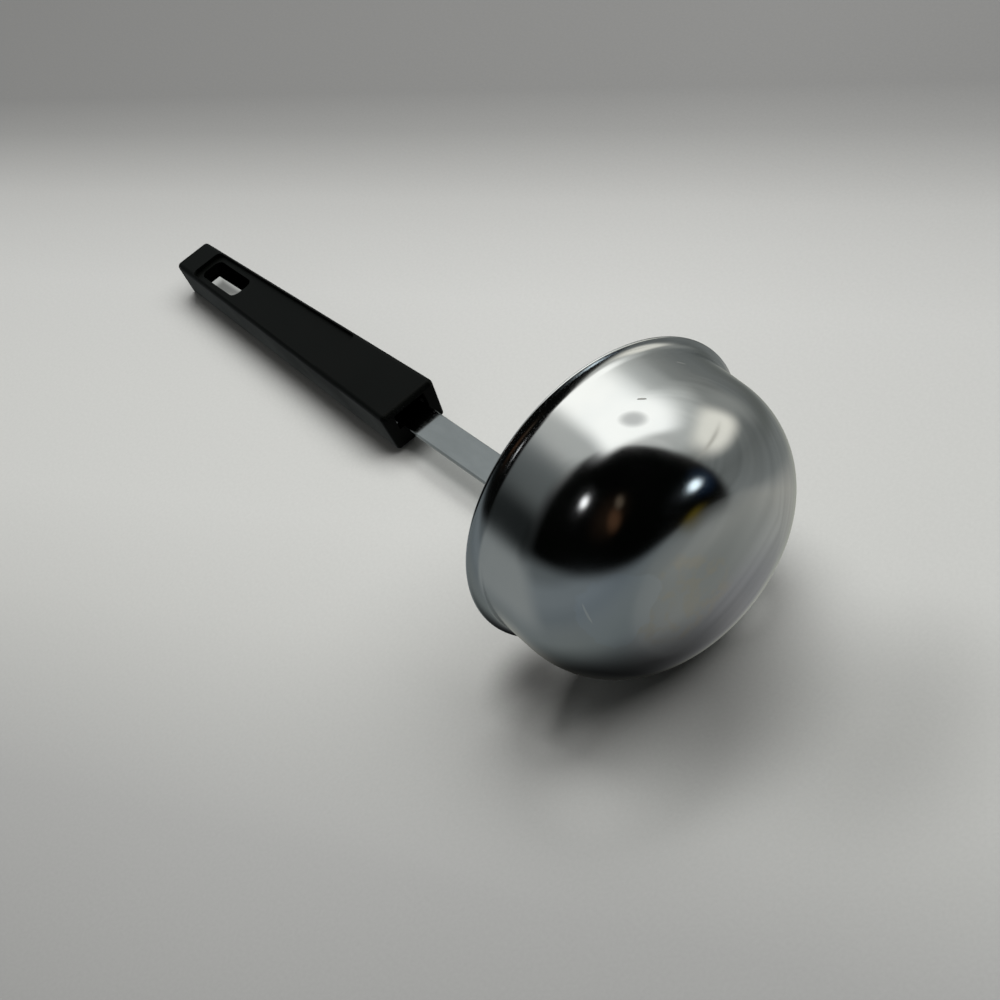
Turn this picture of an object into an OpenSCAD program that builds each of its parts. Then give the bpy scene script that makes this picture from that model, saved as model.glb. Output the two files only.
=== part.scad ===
// Soup ladle lying at rest: a deep drawn steel bowl with a flared lip, a steel
// strap spot welded inside it, and a hollow moulded grip with a hanging hole.
// The ladle is drawn upright first: bowl axis along Z, rim plane at z = 0, mouth
// up, handle on the +X side. lay() then puts it down on its side on the XY plane.

/* [Bowl] */
// Diameter over the lip
rim_d = 90; // [80:0.5:110]
// How far the lip stands out beyond the straight wall
lip_out = 2.25; // [1.5:0.25:4]
// Angle that the lip turns outwards from the wall
lip_flare = 68; // [50:1:85]
// Thickness of the steel sheet
sheet_t = 0.8; // [0.6:0.1:1.2]
// Depth of the lower end of the straight wall below the rim
wall_h = 15.4; // [12:0.2:30]
// Outer radius of the rounded shoulder under the straight wall
shoulder_r = 25.2; // [15:0.2:32]
// How much deeper the middle of the bottom lies than the shoulder's own radius
crown_h = 2.1; // [1.5:0.1:6]

/* [Strap] */
// Width of the strap
strap_w = 10; // [8:0.5:12]
// Thickness of the strap
strap_t = 2; // [1.5:0.1:2.5]
// Bare straight wall left under the strap's welded end
weld_margin = 1.4; // [1:0.2:4]
// Gap between the strap's edges and the wall that they are welded to
weld_gap = 0.05; // [0.02:0.01:0.1]
// Diameter of the dent that each spot weld leaves
dent_d = 4; // [3:0.5:5]
// Depth of a weld dent
dent_depth = 0.25; // [0.1:0.05:0.4]
// Distance between the two weld dents
dent_pitch = 7; // [6:0.5:8]
// Height of the bend above the rim plane
bend_h = 22; // [16:0.5:35]
// Inner radius of the bend
bend_r = 14; // [8:1:30]
// Angle between the handle and the bowl's axis
handle_tilt = 12.6; // [8:0.2:18]
// Length of the tang inside the grip
tang_l = 62; // [45:1:80]
// Radius of the corners at the tang's end
tang_corner_r = 2.5; // [1:0.5:4]
// Diameter of the keying hole near the tang's end
key_d = 4; // [3:0.5:5]
// Distance of the keying hole from the tang's end
key_inset = 9; // [6:0.5:14]

/* [Grip] */
// Distance from the rim plane to the grip's front edge, along the strap
grip_reach = 115.5; // [100:0.5:140]
// Length of the grip's top face
grip_l = 152.3; // [130:0.1:180]
// Width of the top face at the front
front_w = 20.5; // [18:0.5:24]
// Width of the top face at the tip
tip_w = 14; // [12:0.5:18]
// Height of the grip at the front
front_h = 15.8; // [14:0.2:20]
// Height of the grip at the tip
tip_h = 15.3; // [13:0.1:20]
// Height of the top face over the strap's upper side, at the front
front_rise = 6.8; // [5.6:0.2:9]
// Height of the top face over the strap's upper side, at the tip
tip_rise = 6.4; // [5:0.2:9]
// How far the front face leans back from top to bottom
front_lean = 2.7; // [0:0.1:4]
// How far the tip face leans out from top to bottom
tip_lean = 3.3; // [0:0.1:5]
// How much each side leans in from top to bottom
side_draft = 0.86; // [0:0.02:1.5]
// Radius of the edges round the top face
top_edge_r = 1.7; // [1:0.1:2.5]
// Radius of the lower edges
low_edge_r = 1.2; // [0.8:0.1:1.6]

/* [Grip shell] */
// Thickness of the side walls
shell_t = 1.8; // [1.4:0.1:2.4]
// Thickness of the top plate
plate_t = 2.2; // [1.6:0.1:3]
// Thickness of the front and tip end walls
end_t = 2.6; // [2:0.1:4]
// Width of the mouth that the strap comes out of
mouth_w = 12; // [11:0.5:14]
// Radius of the mouth's corners
mouth_r = 1.2; // [0.6:0.1:2]
// How far the top plate stands out over the front wall
brow = 0.5; // [0.2:0.1:1]
// Clearance between the tang and the grip
tang_gap = 0.05; // [0.02:0.01:0.1]
// Thickness of the cross ribs
rib_t = 1.6; // [1.2:0.1:2.2]
// Distance from one cross rib to the next
rib_pitch = 14; // [10:0.5:20]
// How far the cross ribs reach below the strap
rib_drop = 3; // [2:0.5:4]

/* [Recess] */
// Distance from the front edge to the start of the thumb recess
recess_start = 44.5; // [36:0.5:60]
// Distance from the recess's end wall to the tip edge
recess_tip_gap = 12.2; // [10:0.2:16]
// Depth of the recess
recess_depth = 1.5; // [1:0.1:2]
// Width of the border beside the recess
recess_border = 1.1; // [0.9:0.05:2]
// Radius of the recess's corners
recess_r = 2.2; // [1:0.1:3]
// Thickness of the recess's floor
floor_t = 1.5; // [1.2:0.1:2]
// Length of the hanging hole
hole_l = 25; // [16:0.5:26]
// Width of the hanging hole
hole_w = 8.6; // [6:0.2:9]
// Radius of the hanging hole's corners
hole_r = 2.8; // [1:0.1:3]
// Floor left between the hanging hole and the recess's end wall
hole_ledge = 2.4; // [1.6:0.2:4]
// How far the collar round the hanging hole reaches below the recess's floor
collar_drop = 2; // [1:0.2:4]

/* [Hidden] */
$fn = 96;
// Facets round the spheres that round the grip's edges
edge_fn = 32;
// How far a cut runs past the face that it opens
over = 1;

// Corner radius of the strap's welded end as a share of its width
weld_end_share = 0.45;

// Bowl: outer radius of the straight wall, and radius of the lip's bend to mid-sheet
body_r = rim_d/2 - lip_out;
lip_mid_r = lip_out/(1 - cos(lip_flare));
// Depth at which the lip starts to turn outwards
lip_h = lip_mid_r*sin(lip_flare) + sheet_t/2;
lip_centre = [body_r - sheet_t/2 + lip_mid_r, -lip_h];
bowl_h = wall_h + shoulder_r + crown_h;
// Radial place of the shoulder's centre, and radius of the bottom that meets it
shoulder_x = body_r - shoulder_r;
bottom_r = (shoulder_x*shoulder_x + crown_h*crown_h + 2*crown_h*shoulder_r)/(2*crown_h);
// Half angle of the bottom, from the axis to where the shoulder takes over
bottom_a = asin(shoulder_x/(bottom_r - shoulder_r));

// Strap: outer face, seated by its two edges on the wall's inner side
seat_r = body_r - sheet_t - weld_gap;
strap_out = sqrt(seat_r*seat_r - strap_w*strap_w/4);
strap_in = strap_out - strap_t;
weld_l = wall_h - weld_margin;
// Radius of the corners at the welded end
weld_end_r = strap_w*weld_end_share;
// Length of each leg that the bend takes up on the strap's upper side
bend_leg = (bend_r + strap_t)*tan(handle_tilt/2);
// Where the line of the strap's upper side would meet the rim plane
line_x = strap_in - bend_h*tan(handle_tilt);
// Flat steps that the bend is made of
bend_steps = 12;
tang_s1 = grip_reach + tang_l;
key_s = tang_s1 - key_inset;

// Grip, in the handle's own frame: x along the handle from the rim plane, z from
// the strap's upper side
tip_s = grip_reach + grip_l;
floor_s0 = grip_reach + recess_start;
floor_s1 = tip_s - recess_tip_gap;
hole_s1 = floor_s1 - hole_ledge;
hole_s0 = hole_s1 - hole_l;
front_low = front_rise - front_h;
tip_low = tip_rise - tip_h;
// Space left between the last cross rib and the hanging hole
rib_end = hole_s0 - rib_pitch/2;
first_rib = grip_reach + front_lean + end_t + rib_pitch/2;
rib_bottom = -strap_t - rib_drop;

function mix(a, b, k) = a + (b - a)*k;
function along(s) = (s - grip_reach)/grip_l;
function half_w(s) = mix(front_w, tip_w, along(s))/2;
function top_z(s) = mix(front_rise, tip_rise, along(s));

// Rest: the bowl lies on its shoulder and the grip on the lower edge of its tip
tip_ball_s = tip_s + tip_lean - low_edge_r;
tip_ball_z = tip_low + low_edge_r;
tip_x = line_x + tip_ball_s*sin(handle_tilt) - tip_ball_z*cos(handle_tilt);
tip_u = tip_ball_s*cos(handle_tilt) + tip_ball_z*sin(handle_tilt);
rest_long = tip_u + wall_h;
rest_wide = tip_x - shoulder_x;
rest_a = atan2(rest_wide, rest_long) - asin((shoulder_r - low_edge_r)/norm([rest_long, rest_wide]));
rest_z = wall_h*sin(rest_a) + shoulder_x*cos(rest_a) + shoulder_r;
// Extent of the lying ladle from the rim's centre, back over the bowl and out to the tip
back_round = wall_h*cos(rest_a) + shoulder_x*sin(rest_a) + shoulder_r;
back_flat = bottom_r - (bottom_r - bowl_h)*cos(rest_a);
back_x = rest_a < bottom_a ? back_flat : back_round;
reach_x = tip_u*cos(rest_a) + tip_x*sin(rest_a) + low_edge_r;

module lay() {
    translate([(back_x - reach_x)/2, 0, rest_z])
        rotate([0, 90 - rest_a, 0])
            children();
}

module along_handle() {
    translate([line_x, 0, 0])
        rotate([0, handle_tilt - 90, 0])
            children();
}

// Half section of what a surface of the bowl encloses, the surface lying t in from the
// outer one: a block cut back to the wall and shoulder, to the round under the lip and
// to the arc of the bottom
module enclosed_half(t) {
    arc_r = shoulder_r - t;
    meet_x = shoulder_x + arc_r*sin(bottom_a);
    intersection() {
        difference() {
            translate([0, -bowl_h])
                square([rim_d/2, bowl_h]);
            difference() {
                translate([meet_x, -bowl_h - over])
                    square([rim_d, bowl_h + over - lip_h]);
                translate([shoulder_x, -wall_h])
                    circle(arc_r);
                translate([0, -wall_h])
                    square([body_r - t, wall_h]);
            }
            translate(lip_centre)
                circle(lip_mid_r - sheet_t/2 + t);
        }
        translate([0, bottom_r - bowl_h])
            circle(bottom_r - t, $fn = 4*$fn);
    }
}

// Half section of the sheet, with the lip cut square at the end of its flare
module sheet_half() {
    difference() {
        enclosed_half(0);
        enclosed_half(sheet_t);
        translate(lip_centre)
            rotate(-lip_flare)
                translate([-2*lip_mid_r, 0])
                    square([4*lip_mid_r, 4*lip_mid_r]);
    }
}

// Rounded edge all round the lip
module lip_edge() {
    translate([rim_d/2 - sheet_t/2, -sheet_t/2])
        circle(sheet_t/2);
}

module bowl() {
    color("silver")
        lay() {
            rotate_extrude($fn = 2*$fn)
                sheet_half();
            rotate_extrude($fn = 2*$fn)
                lip_edge();
        }
}

// Points of the bend at a distance r from its centre, from the leg to the neck
function bend_arc(r) = [for (i = [0 : bend_steps])
    let (a = handle_tilt*i/bend_steps)
    [strap_out + bend_r - r*cos(a), bend_h - bend_leg + r*sin(a)]];
// A point of the handle's frame seen in the bowl's section: radius and height
function in_section(s, z) = [line_x + s*sin(handle_tilt) - z*cos(handle_tilt),
                             s*cos(handle_tilt) + z*sin(handle_tilt)];

// What is cut off the corners of a strip of width w that ends at x = 0
module end_trim(w, r) {
    translate([0, 0, -strap_t - over])
        linear_extrude(strap_t + 2*over)
            difference() {
                translate([-r, -w/2 - over])
                    square([r + over, w + 2*over]);
                for (side = [-1, 1])
                    translate([-r, side*(w/2 - r)])
                        circle(r);
                translate([-r - over, r - w/2])
                    square([r + over, w - 2*r]);
            }
}

module strap() {
    color("gainsboro")
        lay()
            difference() {
                translate([0, strap_w/2, 0])
                    rotate([90, 0, 0])
                        linear_extrude(strap_w)
                            polygon(concat([[strap_in, -weld_l]], bend_arc(bend_r + strap_t),
                                           [in_section(tang_s1, 0), in_section(tang_s1, -strap_t)],
                                           [for (i = [bend_steps : -1 : 0]) bend_arc(bend_r)[i]],
                                           [[strap_out, -weld_l]]));
                // Welded end, with its rounded corners and two weld dents
                translate([strap_in, 0, -weld_l])
                    rotate([0, 90, 0])
                        translate([0, 0, strap_t])
                            end_trim(strap_w, weld_end_r);
                for (i = [0, 1])
                    translate([strap_in - over, 0, strap_w/2 - weld_l + i*dent_pitch])
                        rotate([0, 90, 0])
                            cylinder(d = dent_d, h = over + dent_depth);
                // Tang's end and its keying hole
                along_handle() {
                    translate([tang_s1, 0, 0])
                        end_trim(strap_w, tang_corner_r);
                    translate([key_s, 0, -strap_t - over])
                        cylinder(d = key_d, h = strap_t + 2*over);
                }
            }
}

module corner_ball(s, w, z, r) {
    for (side = [-1, 1])
        translate([s, side*(w/2 - r), z])
            sphere(r, $fn = edge_fn);
}

module grip_body() {
    hull() {
        corner_ball(grip_reach + top_edge_r, front_w, front_rise - top_edge_r, top_edge_r);
        corner_ball(tip_s - top_edge_r, tip_w, tip_rise - top_edge_r, top_edge_r);
        corner_ball(grip_reach + front_lean + low_edge_r, front_w - 2*side_draft,
                    front_low + low_edge_r, low_edge_r);
        corner_ball(tip_s + tip_lean - low_edge_r, tip_w - 2*side_draft,
                    tip_low + low_edge_r, low_edge_r);
    }
}

// Outline in plan from one place along the grip to another, set in from its sides
module grip_plan(s0, s1, inset) {
    polygon([[s0, inset - half_w(s0)], [s1, inset - half_w(s1)],
             [s1, half_w(s1) - inset], [s0, half_w(s0) - inset]]);
}

// Room inside the shell, open at the bottom: its front end is upright, and the end
// at the tip leans as the tip does
module cavity() {
    s0 = grip_reach + front_lean + end_t;
    s1 = tip_s - end_t;
    low_s1 = s1 + tip_lean;
    intersection() {
        translate([0, 0, front_low - over])
            linear_extrude(front_h + over)
                grip_plan(s0, low_s1, shell_t + side_draft);
        translate([0, front_w, 0])
            rotate([90, 0, 0])
                linear_extrude(2*front_w)
                    polygon([[s0, front_low - over], [low_s1, tip_low - over],
                             [s1, top_z(s1) - plate_t], [s0, top_z(s0) - plate_t]]);
    }
}

// Thumb recess: a shallow panel with rounded corners, its floor along the top face.
// skin grows it to the shell round it
module recess(skin) {
    s0 = floor_s0 - skin;
    s1 = floor_s1 + skin;
    deep = recess_depth + skin;
    intersection() {
        translate([0, 0, front_low])
            linear_extrude(front_h + over) {
                grip_plan(s0 + recess_r, s1 - recess_r, recess_border - skin);
                for (s = [s0 + recess_r, s1 - recess_r])
                    translate([s, 0])
                        recess_end(half_w(s) - recess_border + skin - recess_r);
            }
        translate([0, front_w, 0])
            rotate([90, 0, 0])
                linear_extrude(2*front_w)
                    polygon([[s0, top_z(s0) - deep], [s1, top_z(s1) - deep],
                             [s1, top_z(s1) + over], [s0, top_z(s0) + over]]);
    }
}

// Rounded end of the recess's plan, w from the middle to a corner's centre
module recess_end(w) {
    square([2*recess_r, 2*w], center = true);
    for (side = [-1, 1])
        translate([0, side*w])
            circle(recess_r);
}

module ribs() {
    for (s = [first_rib : rib_pitch : rib_end])
        translate([s - rib_t/2, -front_w/2, rib_bottom])
            cube([rib_t, front_w, front_rise - rib_bottom]);
}

module key_pin() {
    translate([key_s, 0, rib_bottom])
        cylinder(d = key_d - 2*tang_gap, h = front_rise - rib_bottom);
}

// Mouth in the front wall, over the strap
module mouth() {
    mouth_top = front_rise - plate_t;
    mouth_h = mouth_top + strap_t + tang_gap;
    translate([grip_reach - over, 0, 0])
        rotate([90, 0, 90])
            linear_extrude(front_lean + end_t + 2*over)
                translate([0, mouth_top - mouth_h]) {
                    translate([-mouth_w/2, 0])
                        square([mouth_w, mouth_h - mouth_r]);
                    translate([mouth_r - mouth_w/2, 0])
                        square([mouth_w - 2*mouth_r, mouth_h]);
                    for (side = [-1, 1])
                        translate([side*(mouth_w/2 - mouth_r), mouth_h - mouth_r])
                            circle(mouth_r);
                }
}

module tang_slot() {
    difference() {
        translate([grip_reach, 0, -strap_t - tang_gap])
            linear_extrude(strap_t + 2*tang_gap)
                translate([0, -strap_w/2 - tang_gap])
                    square([tang_l + tang_gap, strap_w + 2*tang_gap]);
        key_pin();
    }
}

// Thin slice off the front wall that leaves the top plate standing out over it
module brow_cut() {
    lean = front_lean/front_h;
    z1 = front_rise - plate_t;
    translate([0, front_w, 0])
        rotate([90, 0, 0])
            linear_extrude(2*front_w)
                polygon([[grip_reach - over, front_low - over], [grip_reach - over, z1],
                         [grip_reach + plate_t*lean + brow, z1],
                         [grip_reach + (front_h + over)*lean + brow, front_low - over]]);
}

// Plan of the hanging hole, grown all round
module hole_plan(grow) {
    translate([(hole_s0 + hole_s1)/2, 0]) {
        square([hole_l - 2*hole_r, hole_w + 2*grow], center = true);
        square([hole_l + 2*grow, hole_w - 2*hole_r], center = true);
        for (x = [-1, 1], y = [-1, 1])
            translate([x*(hole_l/2 - hole_r), y*(hole_w/2 - hole_r)])
                circle(hole_r + grow);
    }
}

module hang_hole() {
    translate([0, 0, front_low - over])
        linear_extrude(front_h + 2*over)
            hole_plan(0);
}

// Collar that carries the hole's wall down below the recess's floor
module hole_collar() {
    translate([0, 0, top_z(hole_s0) - recess_depth - floor_t - collar_drop])
        linear_extrude(front_h)
            hole_plan(floor_t);
}

module grip() {
    color("#191919")
        lay()
            along_handle()
                difference() {
                    grip_body();
                    difference() {
                        cavity();
                        recess(floor_t);
                        hole_collar();
                        ribs();
                        key_pin();
                    }
                    recess(0);
                    mouth();
                    tang_slot();
                    brow_cut();
                    hang_hole();
                }
}

bowl();
strap();
grip();
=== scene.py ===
import math

import bmesh
import bpy
from mathutils import Matrix, Quaternion, Vector


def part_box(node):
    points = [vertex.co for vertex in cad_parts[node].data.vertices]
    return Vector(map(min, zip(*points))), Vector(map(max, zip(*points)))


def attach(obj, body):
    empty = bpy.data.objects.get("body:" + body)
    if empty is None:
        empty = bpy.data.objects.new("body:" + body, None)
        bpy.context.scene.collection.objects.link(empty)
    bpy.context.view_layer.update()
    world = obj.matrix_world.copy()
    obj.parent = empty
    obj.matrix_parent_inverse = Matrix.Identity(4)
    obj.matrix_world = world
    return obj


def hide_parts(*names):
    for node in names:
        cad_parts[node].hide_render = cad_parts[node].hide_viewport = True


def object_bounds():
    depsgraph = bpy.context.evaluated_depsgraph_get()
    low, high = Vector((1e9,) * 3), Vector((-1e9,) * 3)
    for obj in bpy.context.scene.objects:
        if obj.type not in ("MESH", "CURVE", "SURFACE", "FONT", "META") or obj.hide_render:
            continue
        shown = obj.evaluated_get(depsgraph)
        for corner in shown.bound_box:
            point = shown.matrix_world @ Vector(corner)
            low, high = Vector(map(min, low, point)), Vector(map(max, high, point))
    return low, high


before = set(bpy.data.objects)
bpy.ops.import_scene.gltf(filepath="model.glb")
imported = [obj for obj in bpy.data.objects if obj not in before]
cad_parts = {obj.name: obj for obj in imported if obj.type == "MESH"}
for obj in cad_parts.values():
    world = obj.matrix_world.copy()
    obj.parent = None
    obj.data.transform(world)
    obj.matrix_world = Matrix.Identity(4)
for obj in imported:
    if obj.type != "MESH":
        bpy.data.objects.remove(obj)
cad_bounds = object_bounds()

MM = 0.001
DEG = math.pi / 180

# The ladle's driving sizes, as on the real one
LIP_OUT = 2.25 * MM
LIP_FLARE = 68 * DEG
SHEET_T = 0.8 * MM
WALL_H = 15.4 * MM
SHOULDER_R = 25.2 * MM
CROWN_H = 2.1 * MM
REST_TILT = 12.016 * DEG
STRAP_W = 10 * MM
STRAP_T = 2 * MM
STRAP_EDGE_R = 0.28 * MM
WELD_MARGIN = 1.4 * MM
WELD_GAP = 0.05 * MM
WELD_END_R = 4.5 * MM
WELD_DENT_D = 4 * MM
WELD_DENT_DEPTH = 0.25 * MM
WELD_DENT_PITCH = 7 * MM
BEND_H = 22 * MM
BEND_R = 14 * MM
HANDLE_TILT = 12.6 * DEG
TANG_END = 177.5 * MM
TANG_CORNER_R = 2.5 * MM

# Rounding of the grip's moulded edges, and the turn past which an edge is rounded
GRIP_EDGE_R = 0.22 * MM
GRIP_EDGE_TURN = 35 * DEG

# Turns up to which faces join into one flat face, and past which an edge shows as sharp
FLAT_TURN = 1 * DEG
SHARP_TURN = 40 * DEG

# Places on the bowl, from the rim's centre down, across and along the axis, in mm
DIMPLE = (-42.0, -4.4, -20.0)
NICK_AT = (-41.5, -10.0, -16.7)
BRIGHT_NICK_AT = (-33.2, -26.9, -9.6)
SCRATCH_AT = (-13.6, 31.5, -34.2)
DRIED_AT = (-11.5, 25.5, -38.0)
STAIN_AT = (-1.0, 9.0, -42.2)

# The dimple's size, the ways that the nicks and the scratch run, and the sizes of the dried
# water and the stain with the swing of their ragged borders
DIMPLE_R = 2.4 * MM
DIMPLE_DEPTH = 0.03 * MM
NICK_WAY = Vector((0.54, 0.75, 0.38))
SCRATCH_WAY = Vector((-0.09, 0.05, -1.0))
DRIED_R = 11 * MM
STAIN_R = 13 * MM
MARK_BEND = 16 * MM

# Steps round the bowl, along its arcs and round its bare edge, and the turn in radians by
# which the edge keeps clear of the sheet's two sides
BOWL_TURNS = 384
BOWL_STEPS = 24
EDGE_STEPS = 12
EDGE_TRIM = 0.1

# The table's half width, the way across its painted bands of light and how far they reach
TABLE_HALF = 6.0
BANDS_WAY = 114.5 * DEG
BANDS_REACH = 230 * MM

# Painted shades and painted paler spots of light on the table round the bowl: middle, inner and
# outer radius in mm, and the share of the table's tone inside
PAINTED_TABLE_SPOTS = (
    ((-106, 37), 1, 20, 0.22), ((-152, 19), 6, 46, 0.56), ((-195, -8), 5, 50, 0.76),
    ((-126, 44), 2, 13, 1.5), ((-148, 40), 4, 30, 1.4), ((-136, -10), 3, 12, 1.6))

# Middle of the painted glow on the floor that shows through the hanging hole, and of the painted
# glow under the strap that stands for light thrown back by the steel, in mm
PAINTED_HOLE_GLOW_AT = (150.5, -2.2)
PAINTED_BOUNCE_AT = (-24.0, 4.5)

# From where the bowl touches the table to the middle of the painted shade that the steel shows
# there, the shade's inner and outer radius, and the share of the room's tone inside
SHADE_OFF = (2 * MM, 30 * MM)
SHADE_REACH = (13 * MM, 51 * MM)
SHADE_SHARE = 0.05

# The camera stands behind the bowl's bottom, held askew
CAMERA_AT = Vector((-0.5288, 0.1461, 0.4130))
CAMERA_AIM = Vector((-0.0390, 0.0029, 0.0))
CAMERA_ROLL = -29.52 * DEG
CAMERA_LENS = 80.1

# Share of the light that the polished steel sends back
STEEL_SHINE = 0.68

# Sizes that follow from the frame and from the sizes above
RIM_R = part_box("bowl")[1].y
BODY_R = RIM_R - LIP_OUT
LIP_MID_R = LIP_OUT / (1 - math.cos(LIP_FLARE))
LIP_H = LIP_MID_R * math.sin(LIP_FLARE) + SHEET_T / 2
LIP_CENTRE = (BODY_R - SHEET_T / 2 + LIP_MID_R, -LIP_H)
BOWL_H = WALL_H + SHOULDER_R + CROWN_H
SHOULDER_X = BODY_R - SHOULDER_R
BOTTOM_R = (SHOULDER_X**2 + CROWN_H**2 + 2 * CROWN_H * SHOULDER_R) / (2 * CROWN_H)
BOTTOM_A = math.asin(SHOULDER_X / (BOTTOM_R - SHOULDER_R))
RIM_X = BOTTOM_R - (BOTTOM_R - BOWL_H) * math.cos(REST_TILT) - cad_bounds[1].x
RIM_Z = WALL_H * math.sin(REST_TILT) + SHOULDER_X * math.cos(REST_TILT) + SHOULDER_R
RIM_CENTRE = Vector((RIM_X, 0, RIM_Z))
BOWL_AXIS = Vector((math.cos(REST_TILT), 0, math.sin(REST_TILT)))
BOWL_DOWN = Vector((math.sin(REST_TILT), 0, -math.cos(REST_TILT)))
BOWL_CENTRE = RIM_CENTRE - BOWL_AXIS * WALL_H
CONTACT = BOWL_CENTRE + BOWL_DOWN * SHOULDER_X
SHADE_AT = (CONTACT.x + SHADE_OFF[0], SHADE_OFF[1], 0.0)


def linear(*srgb):
    """A colour read as 0 to 255 in sRGB, as the linear colour that nodes take."""
    parts = [s / 255 for s in (srgb if len(srgb) == 3 else srgb * 3)]
    return (*[p / 12.92 if p <= 0.04045 else ((p + 0.055) / 1.055) ** 2.4 for p in parts], 1)


def grey(*srgb):
    """What the room must send for the bowl to show this sRGB colour."""
    return (*[part / STEEL_SHINE for part in linear(*srgb)[:3]], 1)


def level(azimuth, length=1.0):
    """A level way at an azimuth, as long as asked for."""
    return (length * math.cos(azimuth), length * math.sin(azimuth), 0.0)


class Net:
    """Adds nodes to one tree. Each call links its inputs and gives back the new output."""

    def __init__(self, tree):
        self.tree = tree

    def node(self, kind, inputs=(), output=0, **settings):
        made = self.tree.nodes.new(kind)
        for name, value in settings.items():
            setattr(made, name, value)
        for key, value in dict(inputs).items():
            if isinstance(value, bpy.types.NodeSocket):
                self.tree.links.new(value, made.inputs[key])
            else:
                made.inputs[key].default_value = value
        return made.outputs[output]

    def parts(self, vector):
        return self.node("ShaderNodeSeparateXYZ", {0: vector}).node.outputs

    def math(self, operation, *values):
        return self.node("ShaderNodeMath", enumerate(values), operation=operation)

    def product(self, first, *others):
        for other in others:
            first = self.math("MULTIPLY", first, other)
        return first

    def vector(self, operation, *values, output=0):
        return self.node("ShaderNodeVectorMath", enumerate(values), output, operation=operation)

    def dot(self, value, direction):
        return self.vector("DOT_PRODUCT", value, tuple(direction), output=1)

    def distance(self, value, point):
        return self.vector("DISTANCE", value, tuple(point), output=1)

    def blend(self, factor, a, b):
        return self.node("ShaderNodeMix", {0: factor, 6: a, 7: b}, 2, data_type="RGBA")

    def tone(self, colour, factor):
        return self.node("ShaderNodeMix", {0: 1.0, 6: colour, 7: factor}, 2,
                         data_type="RGBA", blend_type="MULTIPLY")

    def spread(self, value, low, high, to_low=0.0, to_high=1.0, smooth=True):
        kind = "SMOOTHSTEP" if smooth else "LINEAR"
        inputs = {0: value, 1: low, 2: high, 3: to_low, 4: to_high}
        return self.node("ShaderNodeMapRange", inputs, interpolation_type=kind)

    def noise(self, vector, scale, detail=2.0, output=0):
        return self.node("ShaderNodeTexNoise", {"Vector": vector, "Scale": scale, "Detail": detail}, output)

    def lines(self, value, scale, detail):
        """Noise along one value alone."""
        return self.node("ShaderNodeTexNoise", {"W": value, "Scale": scale, "Detail": detail},
                         noise_dimensions="1D")

    def stretched(self, vector, *scale):
        return self.vector("MULTIPLY", vector, scale)

    def ramp(self, value, stops):
        output = self.node("ShaderNodeValToRGB", {0: value})
        elements = output.node.color_ramp.elements
        elements[0].position, elements[0].color = stops[0]
        elements[1].position, elements[1].color = stops[-1]
        for place, colour in stops[1:-1]:
            elements.new(place).color = colour
        return output

    def field(self, place, middle, half, soft):
        """1 inside a rectangle on the table and 0 outside, over a soft border, in mm."""
        sides = []
        for value, at, reach, border in zip(self.parts(place), middle, half, soft):
            off = self.math("ABSOLUTE", self.math("SUBTRACT", value, at * MM))
            sides.append(self.spread(off, (reach + border) * MM, (reach - border) * MM))
        return self.product(*sides)


class Sky(Net):
    """A net over the direction in which the surroundings are seen, with angles in degrees."""

    def __init__(self, tree):
        super().__init__(tree)
        self.towards = self.vector("NORMALIZE", self.node("NodeGroupInput"))
        east, north, self.up = list(self.parts(self.towards))
        self.turn = self.math("DEGREES", self.math("ARCTAN2", north, east))
        self.rise = self.math("DEGREES", self.math("ARCSINE", self.up))

    def off(self, azimuth):
        """How far the direction is turned away from an azimuth, from -180 to 180."""
        return self.math("WRAP", self.math("SUBTRACT", self.turn, azimuth), 180.0, -180.0)

    def patch(self, azimuth, elevation, half_turn, half_rise, soft, power=2.0):
        """1 inside a rounded patch, squarer with a higher power, and 0 outside."""
        lift = self.math("SUBTRACT", self.rise, elevation)
        sides = [self.math("POWER", self.math("ABSOLUTE", self.math("DIVIDE", value, half)), power)
                 for value, half in ((self.off(azimuth), half_turn), (lift, half_rise))]
        away = self.math("POWER", self.math("ADD", *sides), 1 / power)
        return self.spread(away, 1 + soft, 1 - soft)


def walls(sky):
    """Painted reflection of table and walls: greys that change with height, apart for the two sides
    of the table.
    """
    height = sky.spread(sky.rise, -90, 90, smooth=False)
    lamp_side = sky.ramp(height, [
        (0.0, grey(60)), (0.06, grey(84)), (0.12, grey(113)), (0.16, grey(131, 132, 128)),
        (0.225, grey(137, 137, 131)), (0.245, grey(127, 128, 124)), (0.275, grey(103, 106, 104)),
        (0.4, grey(87, 90, 88)), (0.47, grey(96, 99, 97)), (0.52, grey(104, 106, 103)),
        (0.58, grey(120, 122, 118)), (0.65, grey(165, 167, 162)), (1.0, grey(185, 185, 180))])
    far_side = sky.ramp(height, [
        (0.0, grey(54)), (0.06, grey(58, 61, 61)), (0.12, grey(77, 81, 81)), (0.17, grey(87, 92, 91)),
        (0.225, grey(91, 96, 95)), (0.28, grey(92, 97, 97)), (0.34, grey(88, 94, 96)),
        (0.4, grey(96, 102, 104)), (0.45, grey(96, 102, 104)), (0.5, grey(80, 85, 86)),
        (0.6, grey(70, 74, 74)), (1.0, grey(110))])
    # Faint rings of painted shade round the way down along the handle
    rings = sky.lines(sky.dot(sky.towards, (0.75, -0.22, -0.63)), 13.0, 3.0)
    lamp_side = sky.tone(lamp_side, sky.spread(rings, 0.35, 0.65, 0.88, 1.1))
    sides = sky.spread(sky.dot(sky.towards, level(105 * DEG)), -0.3, 0.35)
    return sky.blend(sides, lamp_side, far_side)


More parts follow.
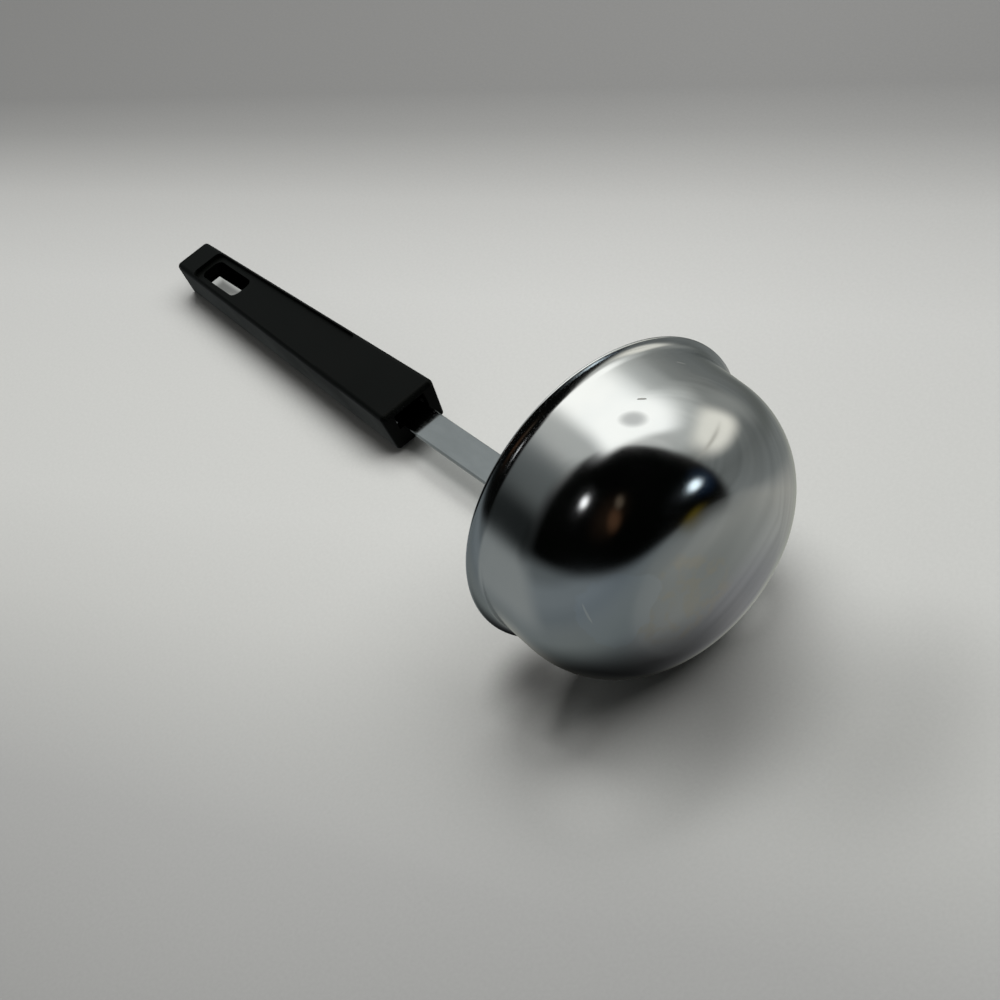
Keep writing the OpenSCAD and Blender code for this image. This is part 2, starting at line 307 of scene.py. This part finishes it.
def dark_room(sky):
    """Where the dark room shows, over the table's edge, which slopes down towards the camera."""
    flat = sky.vector("LENGTH", sky.stretched(sky.towards, 1.0, 1.0, 0.0), output=1)
    slope = sky.dot(sky.towards, level(75 * DEG, 0.62))
    edge = sky.math("SUBTRACT", slope, sky.math("MULTIPLY", flat, 0.43))
    above = sky.spread(sky.math("SUBTRACT", sky.up, edge), -0.13, 0.08)
    off = sky.off(134.5)
    below_top = sky.spread(sky.rise, 92.0, 74.0)
    return sky.product(above, sky.spread(off, 85.5, 80.5), sky.spread(off, -92.0, -56.0), below_top)


def ceiling_panel(sky):
    """Where the painted highlight of the lit ceiling panel shows, inside three soft borders."""
    handle_side = sky.spread(sky.dot(sky.towards, (0.9076, -0.4069, 0.1024)), -0.11, 0.05)
    high = sky.spread(sky.rise, 27.0, 48.0)
    lamp_side = sky.spread(sky.dot(sky.towards, (0.13, 0.99, 0.0)), 0.10, -0.11)
    return sky.product(handle_side, high, lamp_side)


def surroundings():
    """Painted reflections of the room, as polished steel shows it: a group from a direction to a colour."""
    group = bpy.data.node_groups.new("surroundings", "ShaderNodeTree")
    group.interface.new_socket("Direction", in_out="INPUT", socket_type="NodeSocketVector")
    group.interface.new_socket("Color", in_out="OUTPUT", socket_type="NodeSocketColor")
    sky = Sky(group)
    colour = walls(sky)
    for mark, tint in (
        # What stands behind the handle, and paler parts of the table
        (sky.patch(-8, 28, 30, 20, 0.35, 3.0), grey(117, 124, 125)),
        (sky.patch(48, -15, 24, 20, 0.5, 3.0), grey(113, 117, 116)),
        (sky.patch(-28, -46, 26, 12, 0.8), grey(134, 136, 128)),
        # Far wall, pale at its top, dim below and dark over the table's edge
        (sky.patch(20, 80, 50, 26, 0.5, 3.0), grey(160, 162, 158)),
        (sky.patch(48, 42, 13, 20, 0.7, 3.0), grey(84, 88, 87)),
        (sky.patch(53, 19, 15, 13, 0.6, 3.0), grey(30, 33, 33)),
        (dark_room(sky), (0.0006, 0.0008, 0.0006, 1)),
        (ceiling_panel(sky), (1.34, 1.35, 1.28, 1)),
        # Wall that the strap shows
        (sky.patch(-14, 36, 14, 9, 0.35, 3.0), grey(134, 139, 139)),
        # Brown things in the dark room
        (sky.patch(153, 28, 13, 12, 0.9), grey(20, 14, 9)),
        (sky.patch(157, 22, 5, 8, 0.7), grey(58, 40, 27)),
        (sky.patch(164, 33, 3.5, 5, 0.7), grey(66, 58, 48)),
        # Window with its bar, and the wall beside it
        (sky.patch(-114, 10, 19.5, 14, 0.45, 3.0), grey(211, 209, 198)),
        (sky.patch(-124, 8, 12, 1.4, 0.9), grey(158, 156, 146)),
        (sky.patch(-84, 2, 10, 15, 0.8), grey(122, 124, 120)),
        # Painted shades on the table
        (sky.patch(-62, -24, 26, 5, 0.9), grey(80, 83, 80)),
        (sky.patch(-152, -61, 26, 12, 0.8), grey(107, 109, 105)),
        # A blue thing with the painted highlight of a small lamp, the painted highlight of another
        # lamp, and a yellow thing
        (sky.patch(-150, -11, 5, 11, 0.9), grey(15, 27, 42)),
        (sky.patch(-154, -9.5, 3.2, 4.8, 0.6), (1.55, 1.8, 1.9, 1)),
        (sky.patch(125, 50, 5.5, 4.0, 0.6), (1.7, 1.7, 1.68, 1)),
        (sky.patch(-158.5, -36, 3.5, 4.5, 0.9), grey(70, 60, 10)),
    ):
        colour = sky.blend(mark, colour, tint)
    group.links.new(colour, group.nodes.new("NodeGroupOutput").inputs[0])
    return group


def bowl_point(r, turn, u):
    """Where a point this far from the bowl's axis, turned round it and along it, is."""
    side = BOWL_DOWN * (r * math.cos(turn)) + Vector((0, r * math.sin(turn), 0))
    return RIM_CENTRE + side + BOWL_AXIS * u


def bowl_place(point):
    """Where a place given round the bowl's axis and along it, in mm, is in the frame."""
    rho, y, u = (part * MM for part in point)
    return bowl_point(math.hypot(rho, y), math.atan2(y, rho), u)


def new_material(name):
    """A new material with its net, and the place on the piece that the pattern follows."""
    material = bpy.data.materials.new(name)
    material.use_nodes = True
    material.node_tree.nodes.clear()
    net = Net(material.node_tree)
    return material, net, net.node("ShaderNodeTexCoord", output="Object")


def finish_material(net, shader):
    output = net.tree.nodes.new("ShaderNodeOutputMaterial")
    net.tree.links.new(shader, output.inputs[0])


def nick(net, place, point, length, width, soft=0.4, way=NICK_WAY):
    """1 inside a short mark at a point of the bowl and 0 outside, with its half sizes in mm."""
    middle = bowl_place(point)
    outward = (middle - bowl_place((0, 0, point[2]))).normalized()
    along = way - outward * way.dot(outward)
    across = outward.cross(along)
    off = net.vector("SUBTRACT", place, tuple(middle))
    u = net.math("POWER", net.math("DIVIDE", net.dot(off, along.normalized()), length * MM), 2.0)
    v = net.math("POWER", net.math("DIVIDE", net.dot(off, across.normalized()), width * MM), 2.0)
    return net.spread(net.math("ADD", u, v), 1 + soft, 1 - soft)


def ragged_marks(net, place):
    """Dried water, and a spotted stain beside it, with ragged borders."""
    bends = net.vector("SUBTRACT", net.noise(place, 70.0, 6, output=1), (0.5, 0.5, 0.5))
    bent = net.vector("ADD", place, net.vector("MULTIPLY", bends, (MARK_BEND,) * 3))
    dried = net.spread(net.distance(bent, bowl_place(DRIED_AT)), 1.04 * DRIED_R, 0.96 * DRIED_R)
    stained = net.spread(net.distance(bent, bowl_place(STAIN_AT)), 1.15 * STAIN_R, 0.9 * STAIN_R)
    spots = net.spread(net.noise(place, 210.0, 7), 0.42, 0.58)
    return dried, net.product(stained, spots)


def steel_material():
    """Polished stainless steel with turned lines near the lip, water marks and small nicks."""
    material, net, place = new_material("polished_steel")
    along = net.dot(net.vector("SUBTRACT", place, tuple(RIM_CENTRE)), BOWL_AXIS)
    near_lip = net.spread(along, -18 * MM, -5 * MM)
    turned = net.lines(along, 2600.0, 2.0)
    smears = net.noise(place, 60.0, 4)
    specks = net.noise(place, 900.0, 2)
    dried, stained = ragged_marks(net, place)
    dimple = nick(net, place, DIMPLE, length=3.0, width=2.0, soft=1.0)
    nicks = nick(net, place, NICK_AT, length=1.1, width=0.25)
    bright = net.math("MAXIMUM", nick(net, place, BRIGHT_NICK_AT, length=1.2, width=0.35),
                      nick(net, place, SCRATCH_AT, length=3.0, width=0.2, soft=0.5, way=SCRATCH_WAY))
    roughness = net.spread(smears, 0.3, 0.75, 0.09, 0.16)
    roughness = net.math("ADD", roughness, net.math("MULTIPLY", near_lip, 0.06))
    roughness = net.math("ADD", roughness, net.math("MULTIPLY", dried, 0.03))
    height = net.math("ADD", net.math("MULTIPLY", turned, net.spread(near_lip, 0, 1, 0.06, 1)),
                      net.math("MULTIPLY", specks, 0.12))
    height = net.math("SUBTRACT", height, net.math("MULTIPLY", nicks, 20.0))
    normal = net.node("ShaderNodeBump", {"Height": height, "Distance": 0.004 * MM, "Strength": 1.0})
    tint = net.spread(net.noise(place, 35.0, 3), 0.35, 0.7)
    colour = net.blend(tint, (0.70, 0.71, 0.72, 1), (0.64, 0.66, 0.68, 1))
    for mark, its_colour in ((stained, (0.69, 0.67, 0.63, 1)), (dried, (0.70, 0.73, 0.77, 1)),
                             (dimple, (0.36, 0.37, 0.38, 1)), (nicks, (0.32, 0.32, 0.31, 1)),
                             (bright, (0.93, 0.93, 0.92, 1))):
        colour = net.blend(mark, colour, its_colour)
    finish_material(net, net.node("ShaderNodeBsdfPrincipled", {
        "Base Color": colour, "Metallic": 1.0, "Roughness": roughness, "Normal": normal}))
    return material


def strap_material():
    """Smooth rolled steel strip with faint grain and clouding along it."""
    material, net, place = new_material("rolled_steel")
    grain = net.noise(net.stretched(place, 60.0, 1600.0, 1600.0), 1.0, 3)
    cloud = net.noise(net.stretched(place, 60.0, 160.0, 60.0), 1.0, 3)
    colour = net.blend(net.spread(cloud, 0.3, 0.7), (0.52, 0.535, 0.54, 1), (0.585, 0.6, 0.605, 1))
    roughness = net.spread(grain, 0.25, 0.75, 0.08, 0.14)
    normal = net.node("ShaderNodeBump", {"Height": grain, "Distance": 0.0004 * MM, "Strength": 1.0})
    finish_material(net, net.node("ShaderNodeBsdfPrincipled", {
        "Base Color": colour, "Metallic": 1.0, "Roughness": roughness, "Normal": normal}))
    return material


def grip_material():
    """Black moulded plastic with a fine matte texture and faint rubbed patches."""
    material, net, place = new_material("moulded_plastic")
    fine = net.noise(place, 2600.0, 3)
    cloud = net.noise(place, 45.0, 4)
    colour = net.blend(net.spread(cloud, 0.35, 0.7), linear(3, 4, 3), linear(6, 7, 6))
    roughness = net.spread(cloud, 0.3, 0.7, 0.38, 0.48)
    normal = net.node("ShaderNodeBump", {"Height": fine, "Distance": 0.02 * MM, "Strength": 0.6})
    finish_material(net, net.node("ShaderNodeBsdfPrincipled", {
        "Base Color": colour, "Roughness": roughness, "Specular IOR Level": 0.07, "Normal": normal}))
    return material


def smooth_object(name, shape, material):
    """A smooth shaded object of this shape, which is used up."""
    mesh = bpy.data.meshes.new(name)
    shape.to_mesh(mesh)
    shape.free()
    for face in mesh.polygons:
        face.use_smooth = True
    mesh.materials.append(material)
    made = bpy.data.objects.new(name, mesh)
    bpy.context.scene.collection.objects.link(made)
    return made


def join_rings(shape, rings):
    """Faces between rings of corners that follow each other."""
    for low, high in zip(rings, rings[1:]):
        for i in range(len(low)):
            j = (i + 1) % len(low)
            shape.faces.new((low[i], high[i], high[j], low[j]))


def arc(centre, radius, start, end, steps):
    """Points on an arc in the bowl's half section, angles counted from straight outwards."""
    angles = [start + (end - start) * i / steps for i in range(steps + 1)]
    return [(centre[0] + radius * math.cos(a), centre[1] + radius * math.sin(a)) for a in angles]


def bowl_surface(inset, steps):
    """One side of the sheet from the middle of the bottom to the end of the lip."""
    bottom = arc((0, BOTTOM_R - BOWL_H), BOTTOM_R - inset, -math.pi / 2, BOTTOM_A - math.pi / 2, steps)
    shoulder = arc((SHOULDER_X, -WALL_H), SHOULDER_R - inset, BOTTOM_A - math.pi / 2, 0, 2 * steps)
    wall_r = BODY_R - inset
    wall = [(wall_r, -WALL_H + (WALL_H - LIP_H) * i / steps) for i in range(1, steps)]
    lip = arc(LIP_CENTRE, LIP_MID_R - SHEET_T / 2 + inset, math.pi, math.pi - LIP_FLARE, steps)
    return bottom[1:] + shoulder[1:] + wall + lip


def bowl_section():
    """The sheet's whole section: outer side, bare round edge and inner side."""
    outer = bowl_surface(0, BOWL_STEPS)
    inner = bowl_surface(SHEET_T, BOWL_STEPS)
    lip_middle = (RIM_R - SHEET_T / 2, -SHEET_T / 2)
    edge = arc(lip_middle, SHEET_T / 2, -LIP_FLARE + EDGE_TRIM, math.pi - LIP_FLARE - EDGE_TRIM, EDGE_STEPS)
    return outer + edge + inner[::-1]


def press_dimple(shape):
    """Pushes the shallow dimple into the shoulder."""
    centre = bowl_place(DIMPLE)
    inward = (bowl_place((0, 0, DIMPLE[2])) - centre).normalized()
    for vert in shape.verts:
        away = (vert.co - centre).length / DIMPLE_R
        if away < 4:
            vert.co += inward * (DIMPLE_DEPTH * math.exp(-away * away))


def bowl():
    shape = bmesh.new()
    rings = [[shape.verts.new(bowl_point(r, 2 * math.pi * i / BOWL_TURNS, u)) for i in range(BOWL_TURNS)]
             for r, u in bowl_section()]
    join_rings(shape, rings)
    for ring, u in ((rings[0], -BOWL_H), (rings[-1], SHEET_T - BOWL_H)):
        middle = shape.verts.new(bowl_point(0, 0, u))
        for i in range(BOWL_TURNS):
            shape.faces.new((middle, ring[i], ring[(i + 1) % BOWL_TURNS]))
    press_dimple(shape)
    bmesh.ops.recalc_face_normals(shape, faces=shape.faces)
    piece = smooth_object("bowl_shell", shape, steel_material())
    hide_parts("bowl")
    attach(piece, "root")


def strap_stations():
    """The strap's course in the bowl's section: points on its outer face from the welded end
    to the tang's end, each with its lean and the half width there, and where the weld starts."""
    seat_r = BODY_R - SHEET_T - WELD_GAP
    outer = math.sqrt(seat_r**2 - STRAP_W**2 / 4)
    bend_leg = (BEND_R + STRAP_T) * math.tan(HANDLE_TILT / 2)
    bend_u = BEND_H - bend_leg
    weld_u = WELD_MARGIN - WALL_H
    line_x = outer - STRAP_T - BEND_H * math.tan(HANDLE_TILT)
    half = STRAP_W / 2

    def trims(radius, steps=10):
        """Distances from an end, and half widths there, over its rounded corners."""
        angles = [math.pi / 2 * i / steps for i in range(steps)]
        return [(radius * (1 - math.cos(a)), half - radius + radius * math.sin(a)) for a in angles]

    def on_neck(s):
        across = (math.cos(HANDLE_TILT), -math.sin(HANDLE_TILT))
        return (line_x + s * math.sin(HANDLE_TILT) + STRAP_T * across[0],
                s * math.cos(HANDLE_TILT) + STRAP_T * across[1])

    made = [((outer, weld_u + d), 0, w) for d, w in trims(WELD_END_R)]
    start_u = weld_u + WELD_END_R
    leg_steps = 64
    made += [((outer, start_u + (bend_u - start_u) * i / leg_steps), 0, half) for i in range(leg_steps)]
    bend_steps = 24
    for i in range(bend_steps + 1):
        a = HANDLE_TILT * i / bend_steps
        made.append(((outer + BEND_R - BEND_R * math.cos(a), bend_u + BEND_R * math.sin(a)), a, half))
    neck_start = (BEND_H + bend_leg) / math.cos(HANDLE_TILT)
    neck_end = TANG_END - TANG_CORNER_R
    neck_steps = 80
    for i in range(1, neck_steps):
        s = neck_start + (neck_end - neck_start) * i / neck_steps
        made.append((on_neck(s), HANDLE_TILT, half))
    made += [(on_neck(TANG_END - d), HANDLE_TILT, w) for d, w in reversed(trims(TANG_CORNER_R))]
    return made, weld_u


def strap_outline(half, flat_steps=24, corner_steps=4):
    """Cross section of the strap as places across it and heights over its outer face."""
    r = STRAP_EDGE_R
    flat = [-(half - r) + 2 * (half - r) * i / flat_steps for i in range(flat_steps + 1)]

    def corner(y, h, start):
        angles = [start - math.pi / 2 * i / corner_steps for i in range(1, corner_steps)]
        return [(y + r * math.cos(a), h + r * math.sin(a)) for a in angles]

    right, left = half - r, r - half
    return ([(y, STRAP_T) for y in flat] + corner(right, STRAP_T - r, math.pi / 2)
            + [(half, STRAP_T - r), (half, r)] + corner(right, r, 0)
            + [(-y, 0) for y in flat] + corner(left, r, -math.pi / 2)
            + [(-half, r), (-half, STRAP_T - r)] + corner(left, STRAP_T - r, math.pi))


def strap():
    stations, weld_u = strap_stations()
    dents = [weld_u + STRAP_W / 2 + i * WELD_DENT_PITCH for i in (0, 1)]
    shape = bmesh.new()
    rings = []
    for (rho, u), tilt, half in stations:
        ring = []
        for y, h in strap_outline(half):
            if h == STRAP_T:
                away = min(math.hypot(y, u - dent) for dent in dents) / (WELD_DENT_D / 2)
                h -= WELD_DENT_DEPTH * max(0, 1 - away**4)
            r, v = rho - h * math.cos(tilt), u + h * math.sin(tilt)
            point = RIM_CENTRE + BOWL_DOWN * r + BOWL_AXIS * v + Vector((0, y, 0))
            ring.append(shape.verts.new(point))
        rings.append(ring)
    join_rings(shape, rings)
    shape.faces.new(rings[0])
    shape.faces.new(rings[-1])
    bmesh.ops.recalc_face_normals(shape, faces=shape.faces)
    piece = smooth_object("strap_strip", shape, strap_material())
    piece.data.set_sharp_from_angle(angle=SHARP_TURN)
    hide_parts("strap")
    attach(piece, "root")


def grip():
    """The grip's own shape with its sharp edges slightly rounded."""
    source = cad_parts["grip"]
    shape = bmesh.new()
    shape.from_mesh(source.data)
    shape.transform(source.matrix_world)
    bmesh.ops.remove_doubles(shape, verts=shape.verts, dist=0.001 * MM)
    bmesh.ops.dissolve_limit(shape, angle_limit=FLAT_TURN, verts=shape.verts, edges=shape.edges)
    sharp = [edge for edge in shape.edges
             if len(edge.link_faces) == 2 and edge.calc_face_angle() > GRIP_EDGE_TURN]
    bmesh.ops.bevel(shape, geom=sharp, offset=GRIP_EDGE_R, offset_type="OFFSET", segments=2,
                    profile=0.5, affect="EDGES", clamp_overlap=True)
    piece = smooth_object("grip_shell", shape, grip_material())
    piece.data.set_sharp_from_angle(angle=SHARP_TURN)
    # The large faces set the shading, so that the rounded edges leave them flat
    even = piece.modifiers.new("even_shading", "WEIGHTED_NORMAL")
    even.keep_sharp = True
    even.weight = 100
    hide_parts("grip")
    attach(piece, "root")


def painted_table_light(net, place):
    """Painted bands of light across the table, with painted shades and paler spots round the bowl."""
    bands = net.ramp(
        net.spread(net.dot(place, level(BANDS_WAY)), -BANDS_REACH, BANDS_REACH, smooth=False),
        [(0.0, (0.250, 0.250, 0.244, 1)), (0.122, (0.250, 0.250, 0.244, 1)),
         (0.172, (0.314, 0.314, 0.305, 1)), (0.220, (0.418, 0.418, 0.405, 1)),
         (0.255, (0.497, 0.498, 0.482, 1)), (0.298, (0.546, 0.548, 0.53, 1)),
         (0.361, (0.597, 0.600, 0.58, 1)), (0.474, (0.610, 0.614, 0.59, 1)),
         (0.574, (0.610, 0.614, 0.59, 1)), (0.663, (0.560, 0.563, 0.54, 1)),
         (0.743, (0.480, 0.483, 0.465, 1)), (0.815, (0.410, 0.411, 0.40, 1)),
         (1.0, (0.330, 0.330, 0.32, 1))])
    grain = net.spread(net.noise(place, 900.0, 3), 0.2, 0.8, 0.97, 1.03, smooth=False)
    colour = net.tone(bands, grain)
    # Painted shade: along the bands, the table darkens towards the lower border of the picture
    along_bands = net.dot(place, level(BANDS_WAY + 90 * DEG))
    shares = [net.spread(along_bands, 0.0, 200 * MM, 1.0, 0.87)]
    for (x, y), inner, outer, inside in PAINTED_TABLE_SPOTS:
        away = net.distance(place, (x * MM, y * MM, 0.0))
        shares.append(net.spread(away, inner * MM, outer * MM, inside, 1.0))
    for share in shares:
        colour = net.node("ShaderNodeVectorMath", {0: colour, "Scale": share}, operation="SCALE")
    return colour


def painted_table_glow(net, place):
    """Painted light that only the camera sees: daylight inside the grip, strongest towards its tip
    and far side, and light thrown back under the strap."""
    x, y = list(net.parts(place))[:2]
    spot_x, spot_y = PAINTED_HOLE_GLOW_AT
    lean = net.math("MAXIMUM", net.spread(x, (spot_x + 1) * MM, (spot_x + 8) * MM),
                    net.spread(y, spot_y * MM, (spot_y - 3.4) * MM))
    inside = net.product(net.spread(lean, 0, 1, 0.17, 0.42),
                         net.field(place, PAINTED_HOLE_GLOW_AT, half=(9, 3.7), soft=(1, 0.5)))
    thrown = net.product(net.field(place, PAINTED_BOUNCE_AT, half=(26, 4.5), soft=(6, 2)), 0.19)
    return net.math("ADD", inside, thrown)


def table_material():
    """A pale table that gloss looks through, to the room's own colours, with painted light and shade."""
    material, net, place = new_material("pale_table")
    light = net.node("ShaderNodeLightPath").node.outputs
    # The table that the camera sees has its painted bands, and the one that lights the ladle is even
    colour = net.blend(light["Is Camera Ray"], linear(205), painted_table_light(net, place))
    # Painted light: the table glows for camera rays only, inside the grip and under the strap
    glow = net.node("ShaderNodeEmission", {
        "Color": (0.97, 1.0, 0.96, 1),
        "Strength": net.product(painted_table_glow(net, place), light["Is Camera Ray"])})
    matte = net.node("ShaderNodeAddShader", {0: net.node("ShaderNodeBsdfDiffuse", {"Color": colour}),
                                             1: glow})
    # Painted shade in what the steel reflects: the room is dimmed where the bowl shades the table,
    # and dark inside the grip
    kept = net.spread(net.distance(place, SHADE_AT), *SHADE_REACH, SHADE_SHARE, 1.0)
    low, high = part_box("grip")
    grip_half = ((high.x - low.x) / 2 / MM, 6.5)
    under_grip = net.field(place, (low + high) / 2 / MM, half=grip_half, soft=(4, 1.5))
    kept = net.product(kept, net.math("SUBTRACT", 1.0, under_grip))
    through = net.node("ShaderNodeBsdfTransparent", {
        "Color": net.node("ShaderNodeCombineColor", {0: kept, 1: kept, 2: kept})})
    finish_material(net, net.node("ShaderNodeMixShader", {
        0: light["Is Glossy Ray"], 1: matte, 2: through}))
    return material


def table():
    shape = bmesh.new()
    bmesh.ops.create_grid(shape, x_segments=8, y_segments=8, size=TABLE_HALF)
    smooth_object("table", shape, table_material())


def room():
    """A dim even light from all round, while gloss sees the painted reflection of the surroundings."""
    world = bpy.data.worlds.new("room")
    bpy.context.scene.world = world
    world.use_nodes = True
    world.node_tree.nodes.clear()
    net = Net(world.node_tree)
    light = net.node("ShaderNodeLightPath").node.outputs
    mirrored = net.node("ShaderNodeGroup", node_tree=surroundings())
    net.tree.links.new(net.node("ShaderNodeTexCoord", output="Generated"), mirrored.node.inputs[0])
    # The first is the even light on everything, and the second is seen past the table's end
    plain = net.blend(light["Is Camera Ray"], (0.1, 0.1, 0.099, 1), (0.5, 0.5, 0.49, 1))
    colour = net.blend(light["Is Glossy Ray"], plain, mirrored)
    shade = net.node("ShaderNodeBackground", {"Color": colour, "Strength": 1.0})
    output = world.node_tree.nodes.new("ShaderNodeOutputWorld")
    world.node_tree.links.new(shade, output.inputs[0])


def lamp(name, azimuth, elevation, roll, distance, width, height, power):
    """A soft rectangular lamp that faces the bowl, turned about the way that it faces."""
    data = bpy.data.lights.new(name, "AREA")
    data.shape = "RECTANGLE"
    data.size = width
    data.size_y = height
    data.energy = power
    made = bpy.data.objects.new(name, data)
    made.visible_glossy = False
    bpy.context.scene.collection.objects.link(made)
    back = Vector(level(azimuth, math.cos(elevation))) + Vector((0, 0, math.sin(elevation)))
    side = Vector(level(azimuth + 90 * DEG))
    right = side * math.cos(roll) + back.cross(side) * math.sin(roll)
    up = back.cross(right)
    made.location = BOWL_CENTRE + back * distance
    made.rotation_mode = "QUATERNION"
    made.rotation_quaternion = Matrix((right, up, back)).transposed().to_quaternion()


def camera():
    data = bpy.data.cameras.new("camera")
    data.lens = CAMERA_LENS
    made = bpy.data.objects.new("camera", data)
    bpy.context.scene.collection.objects.link(made)
    made.location = CAMERA_AT
    made.rotation_mode = "QUATERNION"
    look = (CAMERA_AIM - CAMERA_AT).to_track_quat("-Z", "Y")
    made.rotation_quaternion = look @ Quaternion((0, 0, 1), CAMERA_ROLL)
    bpy.context.scene.camera = made


camera()
room()
table()
lamp("soft_key", azimuth=-108 * DEG, elevation=66 * DEG, roll=30 * DEG,
     distance=1.6, width=2.4, height=0.95, power=38.5)
bowl()
strap()
grip()
bpy.context.scene.view_settings.view_transform = "Standard"
